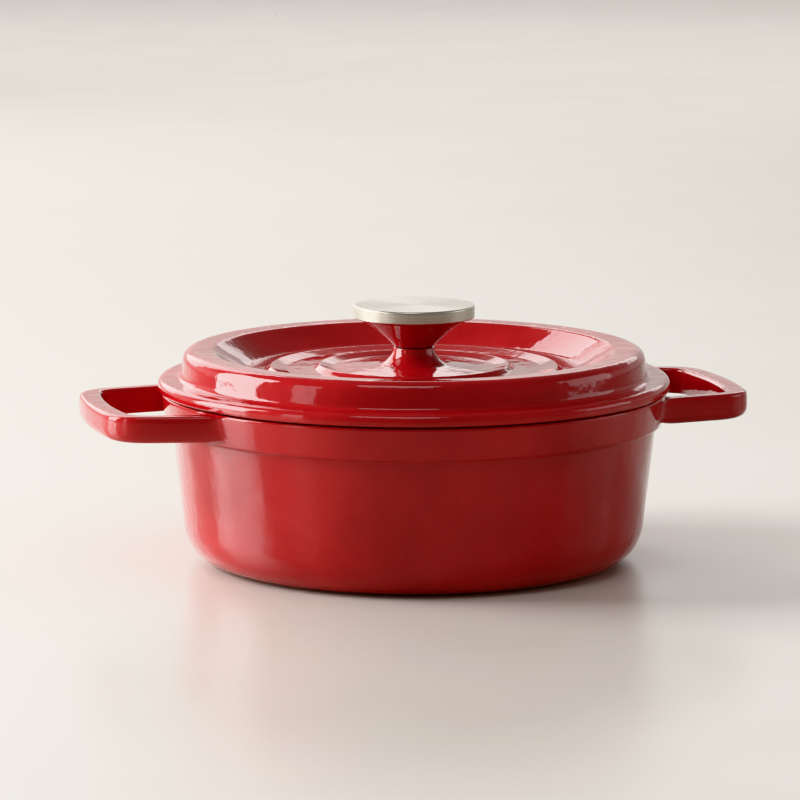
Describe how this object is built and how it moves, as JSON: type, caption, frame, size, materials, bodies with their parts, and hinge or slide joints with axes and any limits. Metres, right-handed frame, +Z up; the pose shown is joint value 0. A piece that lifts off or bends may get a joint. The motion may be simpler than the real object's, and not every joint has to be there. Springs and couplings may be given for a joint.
{
  "type": "dutch oven",
  "caption": "Round enamelled cast iron dutch oven with loop handles and a stepped lift-off lid that has a metal-capped knob.",
  "frame": {"origin": "centre of the flat underside of the pot, where it stands", "axes": "+X along the line through both loop handles, +Z up along the axis of the pot, the lid and the knob"},
  "size_m": [0.3464, 0.2668, 0.1344],
  "materials": {
    "red_enamel": "glossy vitreous enamel on cast iron",
    "knob_enamel": "glossy vitreous enamel on a cast knob",
    "cream_enamel": "glossy light vitreous enamel",
    "stainless": "fine circular brushing",
    "zinc_steel": "satin zinc plating",
    "brass": "turned",
    "silicone": "matt"
  },
  "bodies": {
    "pot": {"pot_casting": "red_enamel", "pot_interior_enamel": "cream_enamel"},
    "lid": {"lid_casting": "red_enamel", "lid_interior_enamel": "cream_enamel", "knob_gasket": "silicone", "knob_cone": "knob_enamel", "knob_cap": "stainless", "knob_insert": "brass", "lid_screw": "zinc_steel", "spring_washer": "zinc_steel", "flat_washer": "zinc_steel"}
  },
  "joints": [
    {"name": "lid_lift", "type": "slide", "parent": "pot", "child": "lid", "axis": [0, 0, 1], "range_m": [0, 0.12]}
  ]
}
